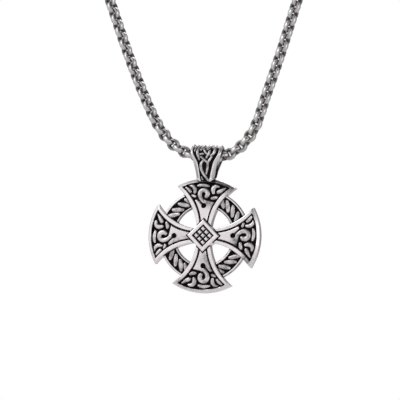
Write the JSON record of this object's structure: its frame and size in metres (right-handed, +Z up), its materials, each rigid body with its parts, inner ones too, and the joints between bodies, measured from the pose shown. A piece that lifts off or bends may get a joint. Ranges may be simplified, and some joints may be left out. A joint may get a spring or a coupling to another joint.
{
  "type": "celtic cross pendant on a round box chain",
  "caption": "Ringed cross pendant with scroll ornament, twisted ring and knotwork bail, swinging on a round box necklace chain with a hook clasp.",
  "frame": {"origin": "the nape of the neck, on the inner side of the chain's clasp rings", "axes": "+Z up, -Y towards the viewer who faces the pendant, +X to that viewer's right"},
  "size_m": [0.1204, 0.1124, 0.243],
  "materials": {
    "antique_silver": "cast silver-tone metal, polished on the high bands and blackened in the recesses",
    "chain_steel": "polished steel with dark joints between the links"
  },
  "bodies": {
    "necklace": {"chain": "chain_steel", "end_link_left": "chain_steel", "end_link_right": "chain_steel", "ring_left": "chain_steel", "ring_right": "chain_steel", "clasp": "chain_steel"},
    "pendant": {"cross": "antique_silver", "bail": "antique_silver"}
  },
  "joints": [
    {"name": "pendant_swing", "type": "hinge", "parent": "necklace", "child": "pendant", "pos_m": [0, -0.104, -0.201], "axis": [1, 0, 0], "range_deg": [-90, 90]}
  ]
}
